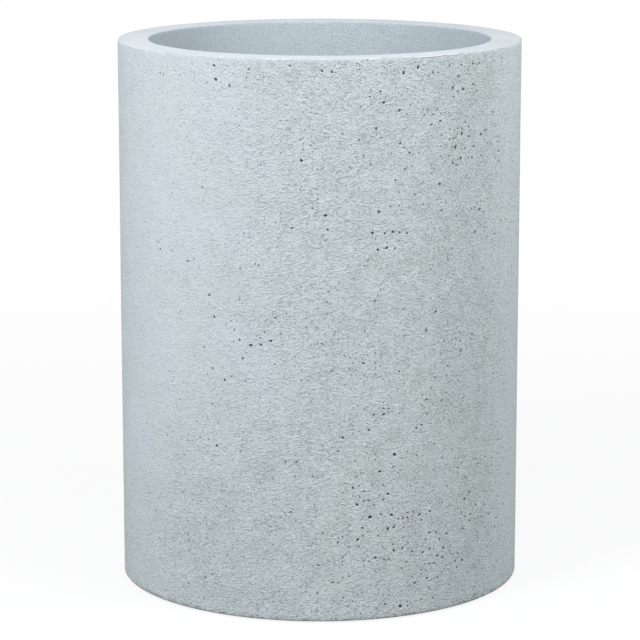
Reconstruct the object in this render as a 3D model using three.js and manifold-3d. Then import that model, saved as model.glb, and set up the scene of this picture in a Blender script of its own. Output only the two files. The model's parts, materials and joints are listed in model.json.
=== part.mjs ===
// A tall round fibreglass planter with a stone-look face. The laminate shell carries a return rim whose
// inner skirt makes the wall look thick, a ledge ring that closes the rim from below, a bonded floor with
// rubber drain plugs, and rubber foot pads. A plastic liner with two swing handles lifts out of the ledge.
// Millimetres, +Z up, origin on the ground under the planter's axis.
import * as THREE from "three";
import { mergeVertices } from "three/addons/utils/BufferGeometryUtils.js";
import Module from "manifold-3d";

// Overall size
const overallHeight = 705;
const overallDiameter = 520;

// Outer shell: a laminate tube whose foot turns in under the floor
const shellWall = 6;
const baseEdgeRadius = 2;
const footFlangeWidth = 45;

// Foot pads: rubber discs glued under the foot flange, which hold the shell off the ground
const padCount = 4;
const padThickness = 2;
const padRadius = 16;
const padChamfer = 0.8;
const padInnerMargin = 2;

// Floor: a laminate disc bonded onto the foot flange, with drain holes on a circle
const floorThickness = 6;
const drainCount = 3;
const drainCircleRadius = 110;
const drainHoleRadius = 11;
const bondGap = 0.3;

// Drain plugs: rubber stoppers pushed in from above
const plugClearance = 0.3;
const plugShankTaper = 1;
const plugShankOvershoot = 3;
const plugHeadLap = 6;
const plugHeadThickness = 4;
const plugNeckRadius = 5;
const plugNeckHeight = 6;
const plugKnobLap = 4;
const plugKnobHeight = 6;
const plugEdgeRadius = 1.5;

// Rim: a flat ring over the top of the shell, turned down into an inner skirt
const rimWidth = 40;
const rimThickness = 5;
const rimOuterEdgeRadius = 4;
const rimInnerEdgeRadius = 2;
const skirtWall = 5;

// Ledge: a ring bonded inside the shell, which closes the hollow rim and carries the liner
const mouthDepth = 70;
const ledgeThickness = 6;
const ledgeReach = 15;
const ledgeEdgeRadius = 2;
const ledgeLegHeight = 30;
const ledgeLegWall = 5;

// Liner: a tapered plastic pot that hangs on the ledge by its flange
const linerDepth = 360;
const linerWall = 3;
const linerTaper = 9;
const linerStep = 3;
const linerStepDrop = 130;
const linerStepHeight = 6;
const linerFlangeClearance = 2;
const linerBodyClearance = 3;
const linerFlangeThickness = 3;
const linerBeadWidth = 5;
const linerBeadHeight = 6;
const linerCornerRadius = 8;
const linerFootWidth = 14;
const linerFootHeight = 4;

// Handles: bent wire that hangs in two lugs on the liner's inner wall, with a moulded grip
const handleCount = 2;
const handleSpan = 100;
const handleDrop = 45;
const wireDiameter = 5;
const wireBendRadius = 12;
const pinBendRadius = 5;
const pinOverhang = 2;
const pinWallClearance = 3;
const pivotDrop = 20;
const lugThickness = 8;
const lugWall = 5;
const lugSideGap = 3;
const lugBoreClearance = 0.3;
const gripDiameter = 14;
const gripEndGap = 3;
const gripBoreClearance = 0.3;
const gripEdgeRadius = 3;

// Facets
const largeRingSegments = 72;
const linerSegments = 60;
const smallRoundSegments = 24;
const arcDivisions = 2;
const wireSides = 8;
const wireSteps = 64;

// Radii, from the outside in
const outerRadius = overallDiameter / 2;
const shellInnerRadius = outerRadius - shellWall;
const bondedRadius = shellInnerRadius - bondGap;
const footInnerRadius = outerRadius - footFlangeWidth;
const padCircleRadius = footInnerRadius + padInnerMargin + padRadius;
const mouthRadius = outerRadius - rimWidth;
const ledgeInnerRadius = mouthRadius - ledgeReach;
const linerFlangeRadius = mouthRadius - linerFlangeClearance;
const linerTopRadius = ledgeInnerRadius - linerBodyClearance;

// Heights, from the ground up
const shellBase = padThickness;
const floorBase = shellBase + shellWall;
const floorTop = floorBase + floorThickness;
const rimBase = overallHeight - rimThickness;
const ledgeTop = overallHeight - mouthDepth;
const linerBase = ledgeTop - linerDepth;

// The handles' pivot, in from the liner's wall by as much as the pins' ends need
const lugStart = handleSpan / 2 + pinBendRadius + lugSideGap;
const pinEnd = lugStart + lugThickness + pinOverhang;
const wallAtPivot = linerRadiusAt(pivotDrop) - linerWall;
const pivotRadius = Math.sqrt(wallAtPivot ** 2 - pinEnd ** 2) - wireDiameter / 2 - pinWallClearance;
const pivotHeight = ledgeTop - pivotDrop;

const stoneFace = new THREE.MeshStandardMaterial({ color: 0xc6ced3, roughness: 0.85, metalness: 0 });
const laminate = new THREE.MeshStandardMaterial({ color: 0x9ea5a6, roughness: 0.7, metalness: 0 });
const blackPlastic = new THREE.MeshStandardMaterial({ color: 0x1b1c1e, roughness: 0.55, metalness: 0 });
const rubber = new THREE.MeshStandardMaterial({ color: 0x232323, roughness: 0.9, metalness: 0 });
const zincWire = new THREE.MeshStandardMaterial({ color: 0xa9adb0, roughness: 0.4, metalness: 0.9 });

const wasm = await Module();
wasm.setup();

// A closed geometry as a solid that can be joined and cut.
function solidOf(geometry) {
  const bare = new THREE.BufferGeometry();
  bare.setAttribute("position", geometry.getAttribute("position"));
  bare.setIndex(geometry.index);
  const merged = mergeVertices(bare);
  const vertProperties = merged.getAttribute("position").array;
  const triVerts = new Uint32Array(merged.index.array);
  return new wasm.Manifold(new wasm.Mesh({ numProp: 3, vertProperties, triVerts }));
}

// A joined or cut solid as a geometry again.
function geometryOf(solid) {
  const { vertProperties, triVerts } = solid.getMesh();
  const geometry = new THREE.BufferGeometry();
  geometry.setAttribute("position", new THREE.BufferAttribute(vertProperties, 3));
  geometry.setIndex(new THREE.BufferAttribute(triVerts, 1));
  geometry.computeVertexNormals();
  return geometry;
}

// Turns an outline in (radius, height), drawn anticlockwise, about +Z.
function turned(outline, segments) {
  const points = outline.getPoints(arcDivisions);
  return new THREE.LatheGeometry(points, segments).rotateX(Math.PI / 2);
}

// A straight round bar that stands on the ground plane.
function cylinder(radius, height) {
  const outline = new THREE.Path().moveTo(0, 0).lineTo(radius, 0).lineTo(radius, height).lineTo(0, height);
  return turned(outline, smallRoundSegments);
}

// A rounded corner is never larger than the wall that it is on.
function limitedRadius(radius, wall) {
  return Math.min(radius, 0.9 * wall);
}

function named(name, geometry, material) {
  const mesh = new THREE.Mesh(geometry, material);
  mesh.name = name;
  return mesh;
}

// Places count copies of a piece evenly on a circle about the planter's axis.
function ring(count, radius, firstAngle, height, makePiece) {
  const group = new THREE.Group();
  for (let i = 0; i < count; i++) {
    const angle = firstAngle + (i * 2 * Math.PI) / count;
    const piece = makePiece(i + 1);
    piece.position.set(radius * Math.cos(angle), radius * Math.sin(angle), height);
    group.add(piece);
  }
  return group;
}

function outerShell() {
  const height = rimBase - shellBase;
  const edge = limitedRadius(baseEdgeRadius, 2 * shellWall);
  const outline = new THREE.Path()
    .moveTo(footInnerRadius, 0)
    .lineTo(outerRadius - edge, 0)
    .absarc(outerRadius - edge, edge, edge, -Math.PI / 2, 0)
    .lineTo(outerRadius, height)
    .lineTo(shellInnerRadius, height)
    .lineTo(shellInnerRadius, shellWall)
    .lineTo(footInnerRadius, shellWall)
    .lineTo(footInnerRadius, 0);
  const mesh = named("outer_shell", turned(outline, largeRingSegments), stoneFace);
  mesh.position.z = shellBase;
  return mesh;
}

function rimReturn() {
  const skirtDepth = rimBase - ledgeTop;
  const outer = limitedRadius(rimOuterEdgeRadius, rimThickness);
  const inner = limitedRadius(rimInnerEdgeRadius, Math.min(skirtWall, rimThickness));
  const outline = new THREE.Path()
    .moveTo(mouthRadius + skirtWall, 0)
    .lineTo(outerRadius, 0)
    .absarc(outerRadius - outer, rimThickness - outer, outer, 0, Math.PI / 2)
    .absarc(mouthRadius + inner, rimThickness - inner, inner, Math.PI / 2, Math.PI)
    .lineTo(mouthRadius, -skirtDepth)
    .lineTo(mouthRadius + skirtWall, -skirtDepth)
    .lineTo(mouthRadius + skirtWall, 0);
  const mesh = named("rim_return", turned(outline, largeRingSegments), stoneFace);
  mesh.position.z = rimBase;
  return mesh;
}

function linerLedge() {
  const edge = limitedRadius(ledgeEdgeRadius, ledgeThickness);
  const outline = new THREE.Path()
    .moveTo(ledgeInnerRadius, 0)
    .lineTo(bondedRadius - ledgeLegWall, 0)
    .lineTo(bondedRadius - ledgeLegWall, -ledgeLegHeight)
    .lineTo(bondedRadius, -ledgeLegHeight)
    .lineTo(bondedRadius, ledgeThickness)
    .absarc(ledgeInnerRadius + edge, ledgeThickness - edge, edge, Math.PI / 2, Math.PI)
    .lineTo(ledgeInnerRadius, 0);
  const mesh = named("liner_ledge", turned(outline, largeRingSegments), laminate);
  mesh.position.z = ledgeTop - ledgeThickness;
  return mesh;
}

// The first drain hole is at the back of the planter.
function drainAngle(index) {
  return Math.PI / 2 + (index * 2 * Math.PI) / drainCount;
}

function floorPanel() {
  const outline = new THREE.Path()
    .moveTo(0, 0)
    .lineTo(bondedRadius, 0)
    .lineTo(bondedRadius, floorThickness)
    .lineTo(0, floorThickness);
  let solid = solidOf(turned(outline, largeRingSegments));
  for (let i = 0; i < drainCount; i++) {
    const angle = drainAngle(i);
    const hole = cylinder(drainHoleRadius, 3 * floorThickness);
    hole.translate(drainCircleRadius * Math.cos(angle), drainCircleRadius * Math.sin(angle), -floorThickness);
    solid = solid.subtract(solidOf(hole));
  }
  const mesh = named("floor_panel", geometryOf(solid), laminate);
  mesh.position.z = floorBase;
  return mesh;
}

// The plug's own zero height is the floor's top face, which its head rests on.
function drainPlug(number) {
  const shankTop = drainHoleRadius - plugClearance;
  const shankDepth = floorThickness + plugShankOvershoot;
  const headRadius = drainHoleRadius + plugHeadLap;
  const knobRadius = plugNeckRadius + plugKnobLap;
  const knobBase = plugHeadThickness + plugNeckHeight;
  const edge = limitedRadius(plugEdgeRadius, plugHeadThickness);
  const knobEdge = plugKnobHeight / 2;
  const outline = new THREE.Path()
    .moveTo(0, -shankDepth)
    .lineTo(shankTop - plugShankTaper, -shankDepth)
    .lineTo(shankTop, 0)
    .lineTo(headRadius, 0)
    .absarc(headRadius - edge, plugHeadThickness - edge, edge, 0, Math.PI / 2)
    .lineTo(plugNeckRadius, plugHeadThickness)
    .lineTo(plugNeckRadius, knobBase)
    .absarc(knobRadius - knobEdge, knobBase + knobEdge, knobEdge, -Math.PI / 2, Math.PI / 2)
    .lineTo(0, knobBase + plugKnobHeight);
  return named(`drain_plug_${number}`, turned(outline, smallRoundSegments), rubber);
}

function footPad(number) {
  const outline = new THREE.Path()
    .moveTo(0, 0)
    .lineTo(padRadius - padChamfer, 0)
    .lineTo(padRadius, padChamfer)
    .lineTo(padRadius, padThickness)
    .lineTo(0, padThickness);
  return named(`foot_pad_${number}`, turned(outline, smallRoundSegments), rubber);
}

// The radius of the liner's outer face this far below its flange, before the step takes any off.
function linerRadiusAt(drop) {
  return linerTopRadius - (linerTaper * drop) / linerDepth;
}

// The corners of the liner's wall, moved in by inset from its outer face. Height 0 is its underside.
function linerWallPoints(inset) {
  const at = (drop, step) => new THREE.Vector2(linerRadiusAt(drop) - step - inset, linerDepth - drop);
  return {
    top: at(0, 0),
    aboveStep: at(linerStepDrop, 0),
    belowStep: at(linerStepDrop + linerStepHeight, linerStep),
    foot: at(linerDepth, linerStep),
  };
}

function linerPot() {
  const outside = linerWallPoints(0);
  const inside = linerWallPoints(linerWall);
  const floor = linerFootHeight + linerWall;
  const footInner = outside.foot.x - linerFootWidth;
  const flangeTop = linerDepth + linerFlangeThickness;
  const beadTop = linerDepth + linerBeadHeight;
  const beadEdge = limitedRadius(linerBeadWidth / 2, linerBeadHeight - linerFlangeThickness);
  const corner = linerCornerRadius;
  return new THREE.Path()
    .moveTo(0, linerFootHeight)
    .lineTo(footInner - linerFootHeight, linerFootHeight)
    .lineTo(footInner, 0)
    .lineTo(outside.foot.x - linerFootHeight, 0)
    .lineTo(outside.foot.x, linerFootHeight)
    .lineTo(outside.belowStep.x, outside.belowStep.y)
    .lineTo(outside.aboveStep.x, outside.aboveStep.y)
    .lineTo(outside.top.x, outside.top.y)
    .lineTo(linerFlangeRadius, linerDepth)
    .absarc(linerFlangeRadius - beadEdge, beadTop - beadEdge, beadEdge, 0, Math.PI / 2)
    .lineTo(linerFlangeRadius - linerBeadWidth + beadEdge / 2, beadTop)
    .lineTo(linerFlangeRadius - linerBeadWidth, flangeTop)
    .absellipse(outside.top.x, linerDepth, linerWall, linerFlangeThickness, Math.PI / 2, Math.PI)
    .lineTo(inside.aboveStep.x, inside.aboveStep.y)
    .lineTo(inside.belowStep.x, inside.belowStep.y)
    .absarc(inside.foot.x - corner, floor + corner, corner, 0, -Math.PI / 2, true)
    .lineTo(0, floor);
}

// The space inside the middle of the liner's wall, which trims each lug to the wall's curve.
function linerCore() {
  const middle = linerWallPoints(linerWall / 2);
  const outline = new THREE.Path()
    .moveTo(0, linerFootHeight)
    .lineTo(middle.foot.x, linerFootHeight)
    .lineTo(middle.belowStep.x, middle.belowStep.y)
    .lineTo(middle.aboveStep.x, middle.aboveStep.y)
    .lineTo(middle.top.x, middle.top.y)
    .lineTo(0, middle.top.y);
  return solidOf(turned(outline, linerSegments));
}

// One lug in its handle's own frame: X points out from the planter's axis and the pivot runs along Y.
function handleLug(side) {
  const bore = wireDiameter / 2 + lugBoreClearance;
  const lugRadius = bore + lugWall;
  const reach = linerTopRadius - pivotRadius;
  const profile = new THREE.Shape()
    .moveTo(0, -lugRadius)
    .lineTo(reach, -lugRadius)
    .lineTo(reach, lugRadius)
    .lineTo(0, lugRadius)
    .absarc(0, 0, lugRadius, Math.PI / 2, (3 * Math.PI) / 2);
  profile.holes.push(new THREE.Path().absarc(0, 0, bore, 0, 2 * Math.PI));
  const shape = { depth: lugThickness, bevelEnabled: false, curveSegments: smallRoundSegments / 2 };
  const plate = new THREE.ExtrudeGeometry(profile, shape);
  plate.rotateX(Math.PI / 2);
  const nearFace = side > 0 ? lugStart + lugThickness : -lugStart;
  plate.translate(pivotRadius, nearFace, linerDepth - pivotDrop);
  return plate;
}

function handleAngle(index) {
  return (index * 2 * Math.PI) / handleCount;
}

function liner() {
  const core = linerCore();
  let solid = solidOf(turned(linerPot(), linerSegments));
  for (let i = 0; i < handleCount; i++) {
    for (const side of [-1, 1]) {
      const lug = handleLug(side).rotateZ(handleAngle(i));
      solid = solid.add(solidOf(lug).intersect(core));
    }
  }
  const mesh = named("liner", geometryOf(solid), blackPlastic);
  mesh.position.z = linerBase;
  return mesh;
}

// The wire's centre line in the handle's own frame: the pivot at the origin along Y, hanging down -Z.
function wirePath() {
  const leg = handleSpan / 2;
  const at = (y, z) => new THREE.Vector3(0, y, z);
  const path = new THREE.CurvePath();
  const line = (from, to) => path.add(new THREE.LineCurve3(from, to));
  const bend = (from, corner, to) => path.add(new THREE.QuadraticBezierCurve3(from, corner, to));
  line(at(-pinEnd, 0), at(-leg - pinBendRadius, 0));
  bend(at(-leg - pinBendRadius, 0), at(-leg, 0), at(-leg, -pinBendRadius));
  line(at(-leg, -pinBendRadius), at(-leg, wireBendRadius - handleDrop));
  bend(at(-leg, wireBendRadius - handleDrop), at(-leg, -handleDrop), at(wireBendRadius - leg, -handleDrop));
  line(at(wireBendRadius - leg, -handleDrop), at(leg - wireBendRadius, -handleDrop));
  bend(at(leg - wireBendRadius, -handleDrop), at(leg, -handleDrop), at(leg, wireBendRadius - handleDrop));
  line(at(leg, wireBendRadius - handleDrop), at(leg, -pinBendRadius));
  bend(at(leg, -pinBendRadius), at(leg, 0), at(leg + pinBendRadius, 0));
  line(at(leg + pinBendRadius, 0), at(pinEnd, 0));
  return path;
}

function handleWire(name) {
  const section = new THREE.Shape().absarc(0, 0, wireDiameter / 2, 0, 2 * Math.PI);
  const sweep = { steps: wireSteps, extrudePath: wirePath(), curveSegments: wireSides / 2 };
  return named(name, new THREE.ExtrudeGeometry(section, sweep), zincWire);
}

function handleGrip(name) {
  const bore = wireDiameter / 2 + gripBoreClearance;
  const outer = gripDiameter / 2;
  const gripLength = handleSpan - 2 * (wireBendRadius + gripEndGap);
  const edge = limitedRadius(gripEdgeRadius, outer - bore);
  const outline = new THREE.Path()
    .moveTo(bore, 0)
    .lineTo(outer - edge, 0)
    .absarc(outer - edge, edge, edge, -Math.PI / 2, 0)
    .absarc(outer - edge, gripLength - edge, edge, 0, Math.PI / 2)
    .lineTo(bore, gripLength)
    .lineTo(bore, 0);
  const sleeve = turned(outline, smallRoundSegments / 2).rotateX(-Math.PI / 2);
  const mesh = named(name, sleeve, blackPlastic);
  mesh.position.set(0, -gripLength / 2, -handleDrop);
  return mesh;
}

function linerHandle(side, index) {
  const handle = new THREE.Group();
  handle.add(handleWire(`handle_wire_${side}`), handleGrip(`handle_grip_${side}`));
  handle.position.x = pivotRadius;
  const turn = new THREE.Group();
  turn.add(handle);
  turn.rotation.z = handleAngle(index);
  turn.position.z = pivotHeight;
  return turn;
}

const planter = new THREE.Group();
planter.add(outerShell(), rimReturn(), linerLedge(), floorPanel());
planter.add(ring(padCount, padCircleRadius, Math.PI / padCount, 0, footPad));
planter.add(ring(drainCount, drainCircleRadius, drainAngle(0), floorTop, drainPlug));
planter.add(liner(), linerHandle("right", 0), linerHandle("left", 1));

export default planter;
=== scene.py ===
"""The looks of a tall round planter: a pitted stone-like face, a pale rim, and the pieces inside.

Everything is in metres in the part's own frame: +Z up, the origin on the ground under the axis,
and -Y towards the side that the camera sees.
"""

import json
import math
import random

import bpy
import numpy as np
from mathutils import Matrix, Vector, noise


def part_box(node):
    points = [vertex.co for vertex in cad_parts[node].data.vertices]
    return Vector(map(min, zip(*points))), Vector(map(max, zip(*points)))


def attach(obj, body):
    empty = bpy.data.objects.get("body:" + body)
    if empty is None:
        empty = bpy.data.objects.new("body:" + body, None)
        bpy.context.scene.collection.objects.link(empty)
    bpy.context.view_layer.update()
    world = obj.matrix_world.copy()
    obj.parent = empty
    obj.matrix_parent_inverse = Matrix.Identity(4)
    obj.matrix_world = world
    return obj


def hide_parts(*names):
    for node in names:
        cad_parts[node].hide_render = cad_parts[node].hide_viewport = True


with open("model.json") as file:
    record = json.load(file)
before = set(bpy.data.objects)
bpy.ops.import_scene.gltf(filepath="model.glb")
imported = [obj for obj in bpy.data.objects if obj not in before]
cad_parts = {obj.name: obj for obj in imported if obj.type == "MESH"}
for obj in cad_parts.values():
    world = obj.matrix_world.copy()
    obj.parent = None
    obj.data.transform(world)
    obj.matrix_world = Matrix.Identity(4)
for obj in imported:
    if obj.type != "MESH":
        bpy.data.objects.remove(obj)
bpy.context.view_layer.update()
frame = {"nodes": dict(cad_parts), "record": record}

MM = 0.001
HAIR = 0.01 * MM
TURN = 2 * math.pi


# -------- sizes, from the frame

SHELL_LOW, SHELL_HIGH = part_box("outer_shell")
RIM_LOW, RIM_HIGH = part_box("rim_return")
LEDGE_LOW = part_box("liner_ledge")[0]
FLOOR_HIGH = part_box("floor_panel")[1]
LINER_LOW, LINER_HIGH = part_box("liner")
GRIP_LOW, GRIP_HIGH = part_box("handle_grip_right")

OUTER_RADIUS = SHELL_HIGH.x
SHELL_WALL = 6 * MM
BASE_EDGE = 2 * MM
FOOT_FLANGE = 45 * MM
RIM_WIDTH = 40 * MM
RIM_EDGE = 2 * MM
RIM_INNER_EDGE = 2 * MM
SKIRT_WALL = 5 * MM
MOUTH_RADIUS = OUTER_RADIUS - RIM_WIDTH
PIVOT_RADIUS = (GRIP_LOW.x + GRIP_HIGH.x) / 2


def add_object(name, data):
    made = bpy.data.objects.new(name, data)
    bpy.context.scene.collection.objects.link(made)
    return made


# -------- camera

CAMERA_DISTANCE = 3.7314
CAMERA_HEIGHT = 1.0785
CAMERA_PITCH = math.radians(11.286)
CAMERA_LENS = 163.06
CAMERA_SENSOR = 36
CAMERA_SHIFT = 0.0006


def make_camera():
    data = bpy.data.cameras.new("camera")
    data.lens = CAMERA_LENS
    data.sensor_width = CAMERA_SENSOR
    data.shift_x = CAMERA_SHIFT
    camera = add_object("camera", data)
    camera.location = (0, -CAMERA_DISTANCE, CAMERA_HEIGHT)
    camera.rotation_euler = (math.pi / 2 - CAMERA_PITCH, 0, 0)
    bpy.context.scene.camera = camera


# -------- node helpers

def srgb(red, green, blue):
    """A colour as written on a screen, 0 to 255, as the shader's linear colour."""
    def linear(value):
        value /= 255
        return value / 12.92 if value <= 0.04045 else ((value + 0.055) / 1.055) ** 2.4
    return (linear(red), linear(green), linear(blue), 1)


class Graph:
    """Makes a shader tree's nodes by short calls. A value is a number or a node's output."""

    def __init__(self, tree):
        self.tree = tree

    def link(self, source, target):
        if hasattr(source, "is_output"):
            self.tree.links.new(source, target)
        else:
            target.default_value = source

    def node(self, kind, inputs=None, **settings):
        made = self.tree.nodes.new("ShaderNode" + kind)
        for key, value in settings.items():
            setattr(made, key, value)
        for key, value in (inputs or {}).items():
            self.link(value, made.inputs[key])
        return made

    def place(self, stretch=(1, 1, 1)):
        """Object coordinates in metres, each axis scaled by stretch."""
        coords = self.node("TexCoord").outputs["Object"]
        inputs = {"Vector": coords, "Scale": stretch}
        return self.node("Mapping", inputs).outputs["Vector"]

    def distance(self, stretch=(1, 1, 1)):
        """The distance from the origin, each axis scaled by stretch."""
        inputs = {"Vector": self.place(stretch)}
        return self.node("VectorMath", inputs, operation="LENGTH").outputs["Value"]

    def noise(self, size, detail=2.0, roughness=0.5, distortion=0.0, stretch=(1, 1, 1)):
        """Noise from 0 to 1 whose features are about size metres across."""
        inputs = {
            "Vector": self.place(stretch),
            "Scale": 1 / size,
            "Detail": detail,
            "Roughness": roughness,
            "Distortion": distortion,
        }
        return self.node("TexNoise", inputs).outputs["Fac"]

    def cloud(self, size, low, high, out_low=0.0, out_high=1.0, **kind):
        """Noise whose range from low to high becomes out_low to out_high."""
        return self.remap(self.noise(size, **kind), low, high, out_low, out_high)

    def spots(self, size, radius, share):
        """Round spots, 1 in the middle and 0 outside, in a share of cells size metres wide."""
        inputs = {"Vector": self.place(), "Scale": 1 / size}
        cells = self.node("TexVoronoi", inputs).outputs
        near = self.remap(cells["Distance"], radius / size, 0.3 * radius / size)
        pick = self.node("SeparateColor", {"Color": cells["Color"]}).outputs["Red"]
        return self.times(near, self.math("LESS_THAN", pick, share))

    def math(self, operation, first, second=0.0):
        return self.node("Math", {0: first, 1: second}, operation=operation).outputs[0]

    def times(self, first, second):
        return self.math("MULTIPLY", first, second)

    def plus(self, first, second):
        return self.math("ADD", first, second)

    def minus(self, first, second):
        return self.math("SUBTRACT", first, second)

    def remap(self, value, low, high, out_low=0.0, out_high=1.0):
        """Value's range from low to high as out_low to out_high, smooth at both ends."""
        inputs = {"Value": value, "From Min": low, "From Max": high}
        inputs.update({"To Min": out_low, "To Max": out_high})
        made = self.node("MapRange", inputs, interpolation_type="SMOOTHSTEP")
        return made.outputs["Result"]

    def mix(self, factor, first, second, blend="MIX"):
        inputs = {"Factor": factor, "A": first, "B": second}
        made = self.node("Mix", inputs, data_type="RGBA", blend_type=blend)
        return made.outputs["Result"]

    def shade(self, color, amount):
        """Color made lighter or darker by amount, a number about 1."""
        inputs = {"Red": amount, "Green": amount, "Blue": amount}
        grey = self.node("CombineColor", inputs).outputs["Color"]
        return self.mix(1.0, color, grey, "MULTIPLY")

    def attribute(self, name):
        return self.node("Attribute", attribute_name=name).outputs["Fac"]

    def bump(self, height, distance, normal=None):
        """Adds relief of up to distance metres."""
        inputs = {"Height": height, "Distance": distance, "Strength": 1.0}
        if normal is not None:
            inputs["Normal"] = normal
        return self.node("Bump", inputs).outputs["Normal"]

    def mix_shaders(self, factor, first, second):
        inputs = {0: factor, 1: first, 2: second}
        return self.node("MixShader", inputs).outputs["Shader"]


class Material(Graph):
    """A node material with a Principled shader."""

    def __init__(self, name, roughness=0.5, metallic=0.0, specular=0.5):
        self.data = bpy.data.materials.new(name)
        self.data.use_nodes = True
        super().__init__(self.data.node_tree)
        self.shader = self.tree.nodes["Principled BSDF"]
        self.set("Roughness", roughness)
        self.set("Metallic", metallic)
        self.set("Specular IOR Level", specular)

    def set(self, name, value):
        self.link(value, self.shader.inputs[name])

    def finish(self, color, roughness, normal):
        self.set("Base Color", color)
        self.set("Roughness", roughness)
        self.set("Normal", normal)
        return self.data


# -------- materials

COAT_BLUE = srgb(208, 217, 224)
COAT_GREY = srgb(205, 217, 218)
RIPPLE_STRETCH = (1, 1, 1.3)
RIPPLE_SIZES = (3 * MM, 6.2 * MM)
RIPPLE_SHARES = (0.76, 0.24)
RIPPLE_RELIEF = 4.2 * MM
GRAIN_RELIEF = 0.25 * MM
PINHOLE_CELL = 3.4 * MM
PINHOLE_RADIUS = 1.2 * MM
PINHOLE_RELIEF = 0.6 * MM
WEAVE_RELIEF = 0.9 * MM


class Coat(Material):
    """A mineral coat cast against a mould: faint clouds, shallow ripples, pinholes and grain.

    side grows from 0 on the planter's left to 1 on its right, sooner near the ground.
    """

    def __init__(self, name):
        super().__init__(name, specular=0.3)
        spot = self.node("SeparateXYZ", {"Vector": self.place()}).outputs
        self.east = spot["X"]
        self.height = spot["Z"]
        drift = self.plus(self.east, self.times(self.noise(0.12), 0.12))
        low = self.remap(self.height, 0.35, 0.05, 0, 0.14)
        self.side = self.remap(self.plus(drift, low), -0.17, 0.13)
        cloud = self.times(self.cloud(0.11, 0.38, 0.62, detail=3), 0.5)
        cloud = self.plus(cloud, self.times(self.side, 0.5))
        color = self.mix(cloud, COAT_BLUE, COAT_GREY)
        patch = self.cloud(0.05, 0.3, 0.7, 0.985, 1.013, detail=4, roughness=0.55)
        grain = self.cloud(0.0016, 0.25, 0.75, 0.94, 1.05, detail=3, roughness=0.7)
        self.color = self.shade(self.shade(color, patch), grain)
        fine = self.noise(RIPPLE_SIZES[0], detail=3, roughness=0.64, stretch=RIPPLE_STRETCH)
        broad = self.noise(RIPPLE_SIZES[1], stretch=RIPPLE_STRETCH)
        both = self.plus(self.times(fine, RIPPLE_SHARES[0]), self.times(broad, RIPPLE_SHARES[1]))
        self.ripple = self.minus(both, 0.5)
        # The share of cells that hold a pinhole; cover paints the pinholes darker, painted shade
        # inside them.
        worn = self.cloud(0.035, 0.3, 0.7, 0.12, 0.42)
        worn = self.times(worn, self.remap(self.side, 0, 0.8, 0.3, 1.3))
        self.pinholes = self.spots(PINHOLE_CELL, PINHOLE_RADIUS, worn)
        self.roughness = self.cloud(0.02, 0.3, 0.7, 0.74, 0.9, detail=4)

    def strength(self):
        """How strong the ripples are here: less in patches, and at the left and the far right."""
        patches = self.cloud(0.02, 0.32, 0.65, 0.8, 1.15, detail=3)
        patches = self.times(patches, self.remap(self.east, 0.2, 0.25, 1, 0.5))
        return self.times(patches, self.remap(self.side, 0, 1, 0.64, 1.5))

    def cover(self, color, strength, holes, weave=None):
        """Finishes the coat with its ripples at this strength and its pinholes this deep."""
        relief = self.times(self.ripple, strength)
        spots = self.times(self.pinholes, holes)
        # Painted light and shade: the ripples' crests lighter and their valleys darker, the coat
        # lighter where the ripples are strong to offset their shade, and the pinholes darker. The
        # tone attribute brings in the pores' painted shade and painted highlights.
        for amount in (
            self.remap(relief, -0.3, 0.3, 0.82, 1.19),
            self.remap(strength, 0.5, 1.5, 1.0, 1.08),
            self.remap(spots, 0, 1, 1.0, 0.6),
            self.attribute("tone"),
        ):
            color = self.shade(color, amount)
        grain = self.noise(0.0011, roughness=0.6)
        normal = self.bump(relief, RIPPLE_RELIEF)
        normal = self.bump(grain, GRAIN_RELIEF, normal)
        normal = self.bump(self.minus(1.0, spots), PINHOLE_RELIEF, normal)
        if weave is not None:
            normal = self.bump(weave, WEAVE_RELIEF, normal)
        return self.finish(color, self.roughness, normal)


def bare_laminate(m):
    """Bare laminate on m: chopped strands under a thin, uneven resin, as (colour, relief)."""
    strands = m.noise(0.0035, detail=4, roughness=0.7, distortion=2.2, stretch=(1, 1, 0.35))
    across = m.noise(0.004, detail=4, roughness=0.7, distortion=2.6, stretch=(0.4, 1, 1.3))
    weave = m.math("MAXIMUM", strands, across)
    color = m.mix(m.remap(weave, 0.45, 0.75), srgb(148, 154, 154), srgb(178, 183, 180))
    return m.shade(color, m.cloud(0.06, 0.3, 0.7, 0.9, 1.06, detail=4)), weave


def from_axis(m):
    return m.distance((1, 1, 0))


# Painted shade along the foot of the face, darkest at the ground: the heights between which it
# fades, and how far they wander
FOOT_SHADE_FADE = (0.5 * MM, 8.5 * MM)
FOOT_SHADE_WANDER = 2 * MM


def stone_face():
    """The coat outside, and bare laminate on the shell's inner faces."""
    m = Coat("stone_face")
    faces = (OUTER_RADIUS - 0.6 * SHELL_WALL, OUTER_RADIUS - 0.5 * SHELL_WALL)
    inside = m.remap(from_axis(m), *faces, 1, 0)
    outside = m.minus(1.0, inside)
    bare, weave = bare_laminate(m)
    color = m.mix(inside, m.color, bare)
    # Painted shade: the face is darker towards its foot, up to an uneven height.
    wander = m.cloud(0.012, 0.3, 0.7, -FOOT_SHADE_WANDER, FOOT_SHADE_WANDER, detail=3)
    color = m.shade(color, m.remap(m.plus(m.height, wander), *FOOT_SHADE_FADE, 0.55, 1.0))
    return m.cover(color, m.times(m.strength(), outside), outside, m.times(weave, inside))


# The rim's top is rubbed as far as this radius. A dark line is left there in some stretches,
# by x, and in patches.
RUBBED_RADIUS = OUTER_RADIUS - 1.5 * MM
RUBBED_FALL = 5 * MM
LINE_START = (0.121, 0.125)
LINE_END = (0.177, 0.181)
LAST_LINE_START = (0.2572, 0.2582)
LINE_WIDTH = (0.2 * MM, 0.9 * MM)


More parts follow.
